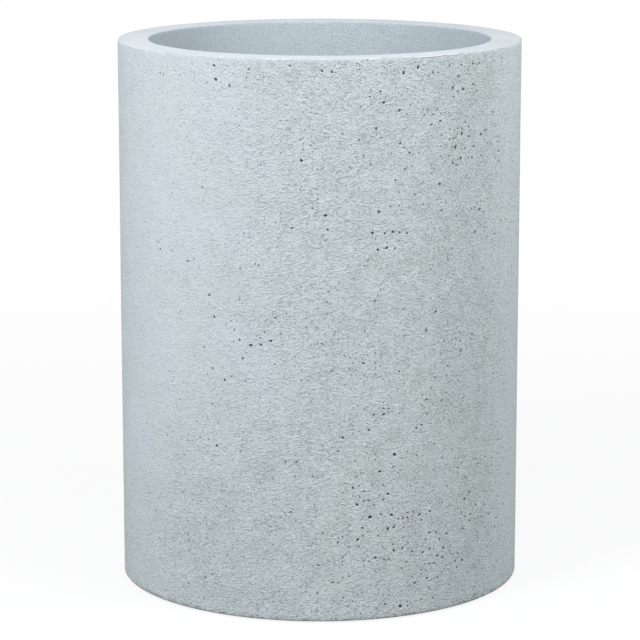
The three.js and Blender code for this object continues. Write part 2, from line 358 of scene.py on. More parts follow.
def rim_face():
    """The coat at the rim: rubbed pale on top, and as cast at the edge and down the skirt."""
    m = Coat("rim_face")
    fall = m.remap(m.height, RIM_HIGH.z - RUBBED_FALL, RIM_HIGH.z, RUBBED_FALL, 0)
    wander = m.cloud(0.04, 0.3, 0.7, -3.2 * MM, 2.2 * MM, detail=3)
    radius = m.plus(m.plus(from_axis(m), fall), wander)
    skirt = m.remap(from_axis(m), MOUTH_RADIUS + 0.5 * MM, MOUTH_RADIUS + 1.5 * MM, 1, 0)
    rubbed = m.remap(radius, RUBBED_RADIUS - MM, RUBBED_RADIUS + MM, 1, 0)
    rubbed = m.times(rubbed, m.minus(1.0, skirt))
    pale = m.mix(m.cloud(0.07, 0.35, 0.65, detail=4), srgb(213, 220, 225), srgb(206, 214, 218))
    # Painted shade: the pale top is darker towards the right.
    pale = m.shade(pale, m.remap(m.east, 0.02, 0.25, 1.0, 0.93))
    color = m.mix(rubbed, m.color, pale)
    line = m.times(m.remap(m.east, *LINE_START), m.remap(m.east, *LINE_END, 1, 0))
    line = m.math("MAXIMUM", line, m.remap(m.east, *LAST_LINE_START))
    line = m.math("MAXIMUM", line, m.times(m.cloud(0.06, 0.52, 0.6, detail=1), 0.6))
    away = m.math("ABSOLUTE", m.minus(radius, RUBBED_RADIUS))
    line = m.times(m.remap(away, *LINE_WIDTH, 1, 0), line)
    color = m.shade(color, m.remap(line, 0, 1, 1, 0.5))
    streaks = m.cloud(0.0024, 0.3, 0.7, 0.93, 1.06, detail=3, roughness=0.65, stretch=(1, 1, 0.35))
    color = m.mix(skirt, color, m.shade(srgb(193, 205, 213), streaks))
    strength = m.times(m.strength(), m.remap(rubbed, 0, 1, 0.8, 0.12))
    strength = m.times(strength, m.remap(skirt, 0, 1, 1, 0.35))
    holes = m.minus(m.remap(rubbed, 0, 1, 0.8, 0.2), m.times(skirt, 0.5))
    return m.cover(color, strength, holes)


def laminate():
    m = Material("laminate", specular=0.45)
    color, weave = bare_laminate(m)
    roughness = m.cloud(0.012, 0.3, 0.7, 0.42, 0.72, detail=3)
    return m.finish(color, roughness, m.bump(weave, WEAVE_RELIEF))


def black_plastic():
    """Moulded polypropylene with a fine grain, rubbed edges, scuffs and a little dust."""
    m = Material("black_plastic", specular=0.45)
    worn = srgb(92, 93, 94)
    dust = m.cloud(0.09, 0.35, 0.7, detail=6, roughness=0.7)
    color = m.mix(dust, srgb(37, 38, 40), srgb(47, 48, 49))
    scuffs = m.cloud(0.0035, 0.56, 0.72, detail=4, roughness=0.7, stretch=(1, 1, 0.12))
    scuffs = m.times(scuffs, m.cloud(0.05, 0.48, 0.62))
    color = m.mix(m.times(scuffs, 0.55), color, worn)
    edges = m.remap(m.attribute("tone"), 1.0, 1.5)
    rubbed = m.times(edges, m.cloud(0.006, 0.4, 0.65, detail=4))
    color = m.mix(m.times(rubbed, 0.6), color, worn)
    normal = m.bump(m.noise(0.0008, roughness=0.7), 0.12 * MM)
    normal = m.bump(m.noise(0.03, detail=1), 0.6 * MM, normal)
    roughness = m.cloud(0.025, 0.3, 0.7, 0.42, 0.6, detail=4)
    return m.finish(color, m.plus(roughness, m.times(scuffs, 0.15)), normal)


def rubber():
    m = Material("rubber", specular=0.3)
    bloom = m.cloud(0.012, 0.4, 0.7, detail=4, roughness=0.6)
    color = m.mix(bloom, srgb(38, 38, 39), srgb(62, 62, 62))
    roughness = m.cloud(0.006, 0.3, 0.7, 0.75, 0.95)
    return m.finish(color, roughness, m.bump(m.noise(0.0012, detail=3), 0.15 * MM))


def zinc_wire():
    """Drawn wire with a dull zinc plating, greyer where it has begun to tarnish."""
    m = Material("zinc_wire", metallic=1.0)
    spangle = m.cloud(0.004, 0.35, 0.65, detail=3, roughness=0.7)
    color = m.mix(spangle, srgb(158, 162, 165), srgb(188, 191, 192))
    tarnish = m.cloud(0.011, 0.5, 0.7, detail=4, roughness=0.65)
    color = m.mix(m.times(tarnish, 0.6), color, srgb(118, 119, 116))
    normal = m.bump(m.noise(0.0006, stretch=(1, 0.15, 0.3)), 0.06 * MM)
    roughness = m.cloud(0.003, 0.3, 0.7, 0.3, 0.5)
    return m.finish(color, m.plus(roughness, m.times(tarnish, 0.2)), normal)


# -------- meshes

SHARP_ANGLE = math.radians(38)


class Builder:
    """Collects points, faces, map coordinates and how light each point is."""

    def __init__(self):
        self.points, self.maps, self.tones = [], [], []
        self.faces, self.corners = [], []

    def point(self, position, across=0.0, along=0.0, tone=1.0):
        self.points.append(position)
        self.maps.append((across, along))
        self.tones.append(tone)
        return len(self.points) - 1

    def face(self, points, corners=None):
        """A face, with map coordinates of its own or those of its points."""
        self.faces.append(tuple(points))
        self.corners.extend(corners or [self.maps[k] for k in points])

    def band(self, lower, upper):
        """Faces between two closed rows of points, each as long as the other."""
        for k in range(len(lower)):
            n = (k + 1) % len(lower)
            self.face((lower[k], lower[n], upper[n], upper[k]))

    def loft(self, rings, patch=(0, 0, 1, 1), closed=False):
        """Skins rings of (position, tone), each one turning anticlockwise as seen from the next.

        A ring of one point is a tip. patch is the part of the map that the skin takes, and closed
        joins the last ring to the first.
        """
        columns = max(len(ring) for ring in rings)
        made = [[self.point(position, tone=tone) for position, tone in ring] for ring in rings]
        if closed:
            made.append(made[0])
            rings = rings + rings[:1]
        steps = [max(math.dist(a[0][0], b[0][0]), HAIR) for a, b in zip(rings, rings[1:])]
        heights = np.cumsum([0] + steps) / sum(steps)
        left, low, right, high = patch
        for lower, upper, v, w in zip(made, made[1:], heights, heights[1:]):
            v0 = low + (high - low) * v
            v1 = low + (high - low) * w
            for k in range(columns):
                n = (k + 1) % columns
                u0 = left + (right - left) * k / columns
                u1 = left + (right - left) * (k + 1) / columns
                maps = [(u0, v0), (u1, v0), (u1, v1), (u0, v1)]
                if len(lower) == 1:
                    self.face((lower[0], upper[n], upper[k]), maps[:1] + maps[2:])
                elif len(upper) == 1:
                    self.face((lower[k], lower[n], upper[0]), maps[:2] + maps[3:])
                else:
                    self.face((lower[k], lower[n], upper[n], upper[k]), maps)

    def mesh(self, name):
        """The mesh, where a face that crosses the map's seam goes on past 1."""
        mesh = bpy.data.meshes.new(name)
        mesh.from_pydata(self.points, [], self.faces)
        mesh.attributes.new("tone", "FLOAT", "POINT").data.foreach_set("value", self.tones)
        maps = np.array(self.corners)
        starts = np.array([face.loop_start for face in mesh.polygons])
        counts = np.array([face.loop_total for face in mesh.polygons])
        face_of = np.repeat(np.arange(len(starts)), counts)
        widest = np.maximum.reduceat(maps[:, 0], starts)[face_of]
        maps[(widest > 0.75) & (maps[:, 0] < 0.25), 0] += 1.0
        mesh.uv_layers.new(name="OFBake").data.foreach_set("uv", maps.astype(np.float32).ravel())
        mesh.shade_smooth()
        mesh.set_sharp_from_angle(angle=SHARP_ANGLE)
        mesh.validate()
        return mesh


def piece(name, mesh, material, slot, body, *nodes):
    """Shows mesh as a piece of the part that moves with body and stands for the named nodes."""
    made = add_object(name, mesh)
    mesh.materials.append(material)
    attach(made, body)
    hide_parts(*nodes)


def lofted(name, rings, closed, *shown):
    """Shows one skin of rings as a piece."""
    builder = Builder()
    builder.loft(rings, closed=closed)
    piece(name, builder.mesh(name), *shown)


def arc(centre, radius, start, end, steps):
    """Points (radius, height) on an arc, by angle in degrees."""
    angles = [math.radians(start + (end - start) * k / steps) for k in range(steps + 1)]
    return [(centre[0] + radius * math.cos(a), centre[1] + radius * math.sin(a)) for a in angles]


def straight(start, end, steps):
    """Points (radius, height) from start to end, both included."""
    return [
        (start[0] + (end[0] - start[0]) * k / steps, start[1] + (end[1] - start[1]) * k / steps)
        for k in range(steps + 1)
    ]


def outline(start, *runs):
    """Points (radius, height) from start on, without any that repeat.

    A run is a list of points, or (point, steps) for a straight line there.
    """
    made = [start]
    for run in runs:
        if isinstance(run, tuple):
            run = straight(made[-1], *run)
        for spot in run:
            if math.dist(spot, made[-1]) > HAIR:
                made.append(spot)
    return made


def smooth_step(value):
    value = min(max(value, 0.0), 1.0)
    return value * value * (3 - 2 * value)


def spot_on(angle, radius, height):
    """Angle 0 is the front, towards -Y, and angles grow towards +X."""
    return (radius * math.sin(angle), -radius * math.cos(angle), height)


# -------- the shell's face

FACE_COLUMNS = 252
FACE_ROWS = 108
FACE_LOW = SHELL_LOW.z + BASE_EDGE
FACE_HIGH = SHELL_HIGH.z
COLUMN_ANGLE = TURN / FACE_COLUMNS
ROW_HEIGHT = (FACE_HIGH - FACE_LOW) / FACE_ROWS
FACE_MAP_SHARE = 0.84

# How far the face wanders from a true cylinder: (feature size, depth), both in metres
UNEVENNESS = [(0.22, 0.45 * MM), (0.07, 0.22 * MM), (0.022, 0.10 * MM)]


def unevenness(angle, height):
    """How far the face stands in from a true cylinder here."""
    place = Vector(spot_on(angle, OUTER_RADIUS, height))
    return sum(depth * (0.5 + 0.5 * noise.noise(place / size)) for size, depth in UNEVENNESS)


def face_point(angle, height, depth=0.0):
    return spot_on(angle, OUTER_RADIUS - unevenness(angle, height) - depth, height)


# Pores seen from the front: (degrees right of the front, mm above the ground, spread in degrees,
# spread in mm, how many)
FRONT_PORES = [
    (-20, 692, 12, 5, 6), (-42, 677, 6, 5, 4), (-31, 671, 5, 5, 3), (-17, 682, 3, 3, 2),
    (-6, 605, 3, 18, 4), (-5, 565, 2, 24, 6), (-7, 508, 4, 6, 4), (-21, 483, 3, 4, 2),
    (-18, 451, 3, 6, 3), (-38, 454, 8, 4, 4), (-43, 432, 2, 3, 1), (-53, 470, 2, 3, 1),
    (26, 689, 12, 5, 5), (55, 692, 8, 5, 3), (4, 692, 3, 4, 2), (13, 678, 2, 3, 1),
    (44, 664, 5, 10, 4), (18, 652, 5, 10, 4), (32, 630, 5, 8, 4), (43, 606, 8, 8, 9),
    (42, 575, 5, 14, 6), (60, 600, 6, 20, 5), (5, 585, 3, 20, 2), (35, 549, 2, 3, 1),
    (19, 525, 2, 3, 1), (50, 509, 4, 8, 6), (58, 562, 3, 4, 2), (62, 475, 5, 8, 3),
    (21, 490, 4, 4, 6), (17, 470, 5, 4, 3), (51, 480, 3, 4, 2),
    (-19, 358, 7, 7, 9), (-1, 357, 3, 4, 3), (-50, 322, 3, 3, 1), (-13, 326, 2, 3, 1),
    (-24, 308, 4, 6, 5), (-18, 284, 2, 3, 1), (-38, 224, 6, 5, 7), (-19, 240, 3, 7, 4),
    (-31, 201, 2, 3, 1), (-8, 195, 4, 8, 5), (-53, 133, 6, 4, 5), (-13, 122, 4, 10, 6),
    (-38, 100, 5, 14, 5), (-40, 72, 4, 4, 2), (-29, 50, 6, 6, 3), (-9, 45, 3, 4, 1),
    (41, 343, 3, 16, 6), (11, 330, 2, 3, 1), (37, 272, 5, 4, 4), (18, 268, 2, 8, 2),
    (30, 247, 3, 3, 2), (23, 211, 3, 3, 3), (50, 186, 7, 8, 8), (62, 204, 3, 4, 2),
    (20, 195, 4, 4, 4), (14, 170, 10, 8, 6), (47, 149, 3, 4, 2),
    (12, 153, 6, 5, 6), (27, 131, 7, 6, 9), (50, 116, 9, 10, 11), (16, 113, 7, 6, 8),
    (36, 99, 8, 6, 8), (9, 100, 4, 5, 4), (22, 90, 4, 6, 5), (8, 84, 3, 10, 4),
    (35, 82, 6, 5, 6), (38, 66, 8, 8, 11), (17, 79, 6, 4, 4), (60, 92, 6, 18, 7),
    (31, 52, 6, 6, 4), (38, 35, 3, 3, 1), (7, 26, 3, 4, 2), (27, 20, 5, 4, 3),
]

# The largest pores at the front: (degrees, mm above the ground, radius in mm)
LARGE_PORES = [
    (40, 590, 2.2), (50, 507, 2.3), (21, 213, 2.2), (14, 135, 2.4), (-5, 581, 1.9), (50, 127, 1.9),
    (23, 14, 2.3), (-19, 351, 1.9), (42, 575, 1.8), (56, 626, 1.8), (-50, 457, 1.7), (12, 330, 1.7),
]

FACE_SEED = 11
SCATTERED_PORES = 5600
CLUSTER_TIGHTNESS = 0.65
MORE_ON_THE_RIGHT = 1.4
# Usual and largest radius in mm, and how much they vary. The bigger ones are in the clusters
# right of 10 degrees or above 640 mm.
CLUSTER_PORE = (1.08, 2.0, 0.25)
BIGGER_CLUSTER_PORE = (1.25, 2.0, 0.25)
SCATTERED_PORE = (0.9, 1.9, 0.3)
LARGEST_IN_ONE_CELL = 1.5 * MM


def pore_radius(rng, usual, largest, spread):
    return min(largest, rng.lognormvariate(math.log(usual), spread)) * MM


def scattered_pore(rng):
    """A random place for a pore, in patches, or None where the face is dense."""
    angle = rng.uniform(-math.pi, math.pi)
    height = rng.uniform(FACE_LOW, FACE_HIGH)
    place = Vector(spot_on(angle, OUTER_RADIUS, height))
    patch = noise.noise(place / 0.13 + Vector((7, 3, 5))) + 0.6 * noise.noise(place / 0.04)
    low = 1 - (height - FACE_LOW) / (FACE_HIGH - FACE_LOW)
    chance = 0.1 + 0.45 * patch + 0.36 * math.sin(angle) + 0.24 * low
    return (angle, height) if rng.random() < chance else None


def all_pores(rng):
    """Every pore as (angle, height, radius), the largest first."""
    pores = [(math.radians(a), h * MM, r * MM) for a, h, r in LARGE_PORES]
    for degrees, height, spread, rise, count in FRONT_PORES:
        kind = BIGGER_CLUSTER_PORE if degrees > 10 or height > 640 else CLUSTER_PORE
        more = 1 + MORE_ON_THE_RIGHT * smooth_step((degrees - 5) / 20)
        for _ in range(round(count * more)):
            angle = math.radians(rng.gauss(degrees, CLUSTER_TIGHTNESS * spread))
            radius = pore_radius(rng, *kind)
            pores.append((angle, rng.gauss(height, CLUSTER_TIGHTNESS * rise) * MM, radius))
    for _ in range(SCATTERED_PORES):
        place = scattered_pore(rng)
        radius = pore_radius(rng, *SCATTERED_PORE)
        if place:
            pores.append((*place, radius))
    return sorted(pores, key=lambda pore: -pore[2])


DEEPEST_PORE = 3.4 * MM
PORE_DEPTH = (1.3, 2.0)
PORE_LEAN = 0.15
PORE_MARGIN = 2.14
# The tone at a pore's bottom: painted shade.
PORE_DARK = 0.2
SMALL_PORE = 1.3 * MM
SMALL_PORE_SIDES = 7
PORE_SIDES = 12
# A pore's rings from its rim inwards: (scale, share of the depth, tone, how much lighter its
# lower lip is). The tones are painted shade inside the pore and a painted highlight at its edge,
# and the lip's amount paints the lower lip lighter and the upper side darker.
PORE_EDGE = [(1.7, 0, 1, 0), (1.2, 0, 1.05, 0.32)]
PORE_RINGS = PORE_EDGE + [(0.92, 0.45, 0.5, 0.3), (0.6, 0.95, 0.2, 0)]
SMALL_PORE_RINGS = PORE_EDGE + [(0.76, 0.85, 0.24, 0.1)]


class Face:
    """The shell's outer face as a grid of cells, some of which hold a pore."""

    def __init__(self, builder, grid):
        self.builder = builder
        self.grid = grid
        self.taken = set()

    def block(self, angle, height, radius):
        """The cells that a pore here needs, as (first column, first row, cells a side), or None."""
        side = 1 if radius <= LARGEST_IN_ONE_CELL else 2
        column = math.floor(angle / COLUMN_ANGLE - 0.5 * (side - 1))
        row = math.floor((height - FACE_LOW) / ROW_HEIGHT - 0.5 * (side - 1))
        if row < 0 or row + side > FACE_ROWS:
            return None
        cells = {((column + i) % FACE_COLUMNS, row + j) for i in range(side) for j in range(side)}
        if cells & self.taken:
            return None
        self.taken |= cells
        return column, row, side

    def border(self, column, row, side):
        """The grid's points round a block, anticlockwise seen from outside, and their places."""
        around = [(i, 0) for i in range(side)] + [(side, j) for j in range(side)]
        around += [(side - i, side - j) for i, j in around]
        return [self.grid[row + j][(column + i) % FACE_COLUMNS] for i, j in around], around

    def add_pore(self, angle, height, radius, rng):
        block = self.block(angle, height, radius)
        if block is None:
            return
        column, row, side = block
        width = OUTER_RADIUS * COLUMN_ANGLE
        margin = PORE_MARGIN * radius
        x = min(max(angle / COLUMN_ANGLE - column, margin / width), side - margin / width)
        y = (height - FACE_LOW) / ROW_HEIGHT - row
        y = min(max(y, margin / ROW_HEIGHT), side - margin / ROW_HEIGHT)
        centre = ((column + x) * COLUMN_ANGLE, FACE_LOW + (row + y) * ROW_HEIGHT)
        depth = min(radius * rng.uniform(*PORE_DEPTH), DEEPEST_PORE)
        small = radius < SMALL_PORE
        sides = SMALL_PORE_SIDES if small else PORE_SIDES
        lean = [rng.uniform(-PORE_LEAN, PORE_LEAN) * radius for _ in range(2)]
        edge = pore_edge(radius, sides, rng)
        steps = SMALL_PORE_RINGS if small else PORE_RINGS
        # How strongly the pore's painted shade and painted highlight show: more on the right, and
        # at random.
        painted_light_strength = 0.84 + 0.12 * math.sin(angle) + rng.uniform(-0.2, 0.12)
        rings = [self.ring(centre, edge, *step, depth, lean, painted_light_strength) for step in steps]
        border, around = self.border(column, row, side)
        turns = [math.atan2((j - y) * ROW_HEIGHT, (i - x) * width) for i, j in around]
        self.zip(border, turns, rings[0], [TURN * k / sides for k in range(sides)])
        for outer, inner in zip(rings, rings[1:]):
            self.builder.band(outer, inner)
        # The bottom point, painted darkest: painted shade.
        bottom = self.ring(centre, [(0, 0)], 1.0, 1.0, PORE_DARK, 0.0, depth, lean, painted_light_strength)[0]
        for k in range(sides):
            self.builder.face((rings[-1][k], rings[-1][(k + 1) % sides], bottom))

    def ring(self, centre, edge, scale, share, tone, lip, depth, lean, painted_light_strength):
        """The points of a pore's edge at a share of its depth, with its lower lip lighter.

        The pore's painted shade and the painted highlight on its lower lip show fully where the
        last argument is 1, and less where it is smaller.
        """
        made = []
        for dx, dy in edge:
            angle = centre[0] + (dx * scale + lean[0] * share) / OUTER_RADIUS
            height = centre[1] + dy * scale + lean[1] * share
            position = face_point(angle, height, share * depth)
            # Painted shade, lighter on the lower lip as a painted highlight and darker on the upper
            # side.
            light = 1 - painted_light_strength * (1 - tone + lip * dy / max(math.hypot(dx, dy), HAIR))
            made.append(self.builder.point(position, map_across(angle), map_along(height), light))
        return made

    def zip(self, border, border_turns, ring, ring_turns):
        """Fills between a block's border and a pore's edge, walking both the same way round."""
        first = min(range(len(border)), key=lambda k: border_turns[k] % TURN)
        border = border[first:] + border[:first]
        turns = [t % TURN for t in border_turns[first:] + border_turns[:first]]
        turns.append(turns[0] + TURN)
        ring_turns = ring_turns + [TURN]
        i = 0
        j = 0
        while i < len(border) or j < len(ring):
            a = border[i % len(border)]
            b = ring[j % len(ring)]
            if j == len(ring) or (i < len(border) and turns[i + 1] < ring_turns[j + 1]):
                i += 1
                self.builder.face((a, border[i % len(border)], b))
            else:
                j += 1
                self.builder.face((a, ring[j % len(ring)], b))


def pore_edge(radius, sides, rng):
    """A pore's edge about its centre: a circle drawn out one way, with an uneven line."""
    lean = rng.uniform(0, math.pi)
    long = rng.uniform(0.05, 0.25)
    wobble = rng.uniform(0, TURN)
    edge = []
    for k in range(sides):
        turn = TURN * k / sides
        reach = 1 + long * math.cos(2 * (turn - lean)) + 0.1 * math.cos(3 * turn + wobble)
        reach *= radius / (1 + 0.3 * long)
        edge.append((reach * math.cos(turn), reach * math.sin(turn)))
    return edge


def map_across(angle):
    return (angle / TURN + 0.5) % 1.0


def map_along(height):
    return FACE_MAP_SHARE * (height - SHELL_LOW.z) / (FACE_HIGH - SHELL_LOW.z)


def shell_profile():
    """The shell's outline from its face's foot, round inside, to its face's top."""
    inner = OUTER_RADIUS - SHELL_WALL
    foot = OUTER_RADIUS - FOOT_FLANGE
    edge = OUTER_RADIUS - BASE_EDGE
    low = SHELL_LOW.z
    return outline(
        (OUTER_RADIUS, low + BASE_EDGE),
        arc((edge, low + BASE_EDGE), BASE_EDGE, 0, -90, 8),
        ((foot, low), 6),
        [(foot, low + SHELL_WALL)],
        ((inner, low + SHELL_WALL), 4),
        ((inner, FACE_HIGH), 14),
    )


def make_shell(material):
    builder = Builder()
    angles = [k * COLUMN_ANGLE for k in range(FACE_COLUMNS)]
    grid = []
    for row in range(FACE_ROWS + 1):
        height = FACE_LOW + row * ROW_HEIGHT
        grid.append([
            builder.point(face_point(angle, height), map_across(angle), map_along(height))
            for angle in angles
        ])
    face = Face(builder, grid)
    rng = random.Random(FACE_SEED)
    for angle, height, radius in all_pores(rng):
        face.add_pore(angle % TURN, height, radius, rng)
    for row in range(FACE_ROWS):
        for k in range(FACE_COLUMNS):
            if (k, row) not in face.taken:
                n = (k + 1) % FACE_COLUMNS
                builder.face((grid[row][k], grid[row][n], grid[row + 1][n], grid[row + 1][k]))
    profile = shell_profile()
    lengths = np.cumsum([0] + [math.dist(a, b) for a, b in zip(profile, profile[1:])])
    rows = [grid[0]]
    for (radius, height), length in zip(profile[1:], lengths[1:]):
        along = FACE_MAP_SHARE + (1 - FACE_MAP_SHARE) * length / lengths[-1]
        made = []
        for angle in angles:
            inset = unevenness(angle, height) if radius > OUTER_RADIUS - 0.9 * BASE_EDGE else 0.0
            spot = spot_on(angle, radius - inset, height)
            made.append(builder.point(spot, map_across(angle), along))
        rows.append(made)
    rows.append(grid[-1])
    for upper, lower in zip(rows, rows[1:]):
        builder.band(lower, upper)
    mesh = builder.mesh("shell_face")
    piece("shell_face", mesh, material, "stone_face", "planter", "outer_shell")


# -------- turned pieces

def turned(profile, columns, move=None, centre=(0, 0)):
    """Rings of an outline in (radius, height) that is turned about an upright axis at centre.

    move(angle, radius, height) may shift a point, and gives its new radius, height and tone.
    """
    rings = []
    for radius, height in profile:
        if radius < HAIR:
            rings.append([((*centre, height), 1.0)])
            continue
        ring = []
        for k in range(columns):
            angle = k * TURN / columns
            r, z, tone = move(angle, radius, height) if move else (radius, height, 1.0)
            x, y, z = spot_on(angle, r, z)
            ring.append(((centre[0] + x, centre[1] + y, z), tone))
        rings.append(ring)
    return rings


def rim_profile():
    low = SHELL_HIGH.z
    top = RIM_HIGH.z
    outer = OUTER_RADIUS
    back = MOUTH_RADIUS + SKIRT_WALL
    foot = RIM_LOW.z
    return outline(
        (back, low),
        ((outer, low), 8),
        arc((outer - RIM_EDGE, top - RIM_EDGE), RIM_EDGE, 0, 90, 7),
        ((MOUTH_RADIUS + RIM_INNER_EDGE, top), 14),
        arc((MOUTH_RADIUS + RIM_INNER_EDGE, top - RIM_INNER_EDGE), RIM_INNER_EDGE, 90, 180, 5),
        ((MOUTH_RADIUS, foot), 22),
        [(back, foot)],
        ((back, low), 4),
    )[:-1]


RIM_COLUMNS = 576
RIM_SEED = 5
RIM_CHIPS = 26
CHIP_HALF = (1.5 * MM, 4.5 * MM)
CHIP_DEPTH = (0.15 * MM, 0.6 * MM)
CHIP_REACH = 1.4 * RIM_EDGE
RIM_TOP_DIP = 0.16 * MM
SKIRT_WANDER = 0.12 * MM


def make_rim(material):
    """The rim, with small knocks along its outer edge: (angle, half width, depth)."""
    rng = random.Random(RIM_SEED)
    chips = [
        (rng.uniform(0, TURN), rng.uniform(*CHIP_HALF) / OUTER_RADIUS, rng.uniform(*CHIP_DEPTH))
        for _ in range(RIM_CHIPS)
    ]

    def move(angle, radius, height):
        inset = 0.0
        if radius > OUTER_RADIUS - 1.2 * RIM_EDGE:
            inset = unevenness(angle, height)
        place = Vector(spot_on(angle, radius, height))
        dip = 0.0
        if height > RIM_HIGH.z - 0.1 * MM:
            dip = RIM_TOP_DIP * (0.5 + 0.5 * noise.noise(place / 0.05))
        to_edge = math.dist((radius, height), (OUTER_RADIUS, RIM_HIGH.z))
        near_edge = max(0.0, 1 - to_edge / CHIP_REACH)
        for centre, half, depth in chips:
            away = (angle - centre + math.pi) % TURN - math.pi
            if abs(away) < 2.5 * half:
                fall = math.exp(-(away / half) ** 2) * near_edge
                inset += 0.9 * depth * fall
                dip += 0.7 * depth * fall
        if radius < MOUTH_RADIUS + 0.1 * MM:
            inset -= SKIRT_WANDER * noise.noise(place / 0.03)
        return radius - inset, height - dip, 1.0

    rings = turned(rim_profile(), RIM_COLUMNS, move)
    lofted("rim_ring", rings, True, material, "stone_face", "planter", "rim_return")


# -------- the ledge that carries the liner

BOND_GAP = 0.3 * MM
LEDGE_REACH = 15 * MM
LEDGE_THICKNESS = 6 * MM
LEDGE_EDGE = 2.5 * MM
LEDGE_LEG_WALL = 5 * MM
LEDGE_FILLET = 4 * MM
LEDGE_WANDER = 0.7 * MM
LEDGE_FOOT_WANDER = 2.5 * MM
LEDGE_RADIUS = MOUTH_RADIUS - LEDGE_REACH
LEDGE_COLUMNS = 240


def make_ledge(material):
    top = RIM_LOW.z
    low = top - LEDGE_THICKNESS
    outer = OUTER_RADIUS - SHELL_WALL - BOND_GAP
    leg = outer - LEDGE_LEG_WALL
    foot = LEDGE_LOW.z
    edge = LEDGE_RADIUS + LEDGE_EDGE
    profile = outline(
        (LEDGE_RADIUS, low + LEDGE_EDGE),
        arc((edge, low + LEDGE_EDGE), LEDGE_EDGE, 180, 270, 5),
        ((leg - LEDGE_FILLET, low), 4),
        arc((leg - LEDGE_FILLET, low - LEDGE_FILLET), LEDGE_FILLET, 90, 0, 5),
        ((leg, foot), 4),
        ((outer, foot), 2),
        ((outer, top), 4),
        ((edge, top), 8),
        arc((edge, top - LEDGE_EDGE), LEDGE_EDGE, 90, 180, 5),
    )

    def move(angle, radius, height):
        """A hand-laid edge that wanders a little, and a foot that was trimmed by hand."""
        place = Vector(spot_on(angle, radius, height))
        if radius < edge:
            radius += LEDGE_WANDER * noise.noise(place / 0.03)
        if height < foot + 0.1 * MM:
            height += LEDGE_FOOT_WANDER * max(0.0, noise.noise(place / 0.04))
        return radius, height, 1.0

    rings = turned(profile, LEDGE_COLUMNS, move)
    lofted("ledge_ring", rings, True, material, "laminate", "planter", "liner_ledge")


# -------- the liner and its handles

LINER_WALL = 3 * MM
LINER_DEPTH = 360 * MM
LINER_TAPER = 9 * MM
LINER_STEP = 3 * MM
LINER_STEP_DROP = 130 * MM
LINER_STEP_HEIGHT = 6 * MM
LINER_TOP_RADIUS = LEDGE_RADIUS - 3 * MM
LINER_COLUMNS = 240
FLANGE_THICKNESS = 3 * MM
BEAD_WIDTH = 5 * MM
LINER_FOOT_WIDTH = 14 * MM
LINER_FOOT_HEIGHT = 4 * MM
LINER_CORNER = 8 * MM
RUBBED_BEAD = 1.5 * MM
PIVOT_DROP = 20 * MM
PIVOT_HEIGHT = RIM_LOW.z - PIVOT_DROP
WIRE_RADIUS = 2.5 * MM
PIN_GAP = 0.3 * MM
LUG_START = 58 * MM
LUG_THICKNESS = 8 * MM
LUG_BORE = WIRE_RADIUS + PIN_GAP
LUG_RADIUS = LUG_BORE + 5 * MM
LUG_BEVEL = 0.9 * MM
BORE_BEVEL = 0.4 * MM
PIN_END = 68 * MM
HANDLE_LEG = 50 * MM
HANDLE_DROP = 45 * MM
HANDLE_BEND = 12 * MM
PIN_BEND = 5 * MM
GRIP_RADIUS = 7 * MM
GRIP_HALF = 35 * MM
GRIP_COLLAR = 4 * MM
FINGERS = 4

# Fine rings that are moulded proud of the liner: how far below its flange on its outside, and
# their radius on its floor
WALL_RINGS = [30 * MM, 36 * MM, 150 * MM]
FLOOR_RINGS = [60 * MM, 120 * MM]
RING_HEIGHT = 0.5 * MM
RING_WIDTH = 2 * MM
GATE_RADIUS = 4 * MM
GATE_HEIGHT = 0.8 * MM


def liner_radius(drop):
    """The radius of the liner's outer face this far below its flange."""
    step = LINER_STEP * smooth_step((drop - LINER_STEP_DROP) / LINER_STEP_HEIGHT)
    return LINER_TOP_RADIUS - LINER_TAPER * drop / LINER_DEPTH - step


def ring_relief(spot, rings):
    return sum(RING_HEIGHT * math.exp(-((spot - at) / (0.5 * RING_WIDTH)) ** 2) for at in rings)


def ring_spots(rings):
    """Places close together across each ring."""
    return {at + RING_WIDTH * (k / 4 - 1) for at in rings for k in range(9)}


def wall_drops(first, last):
    """Drops along the liner's wall, close together where it steps and where it has rings."""
    drops = {first, last} | ring_spots(WALL_RINGS)
    drops.update(first + (last - first) * k / 24 for k in range(25))
    drops.update(LINER_STEP_DROP + LINER_STEP_HEIGHT * k / 6 for k in range(7))
    return sorted(drop for drop in drops if first <= drop <= last)


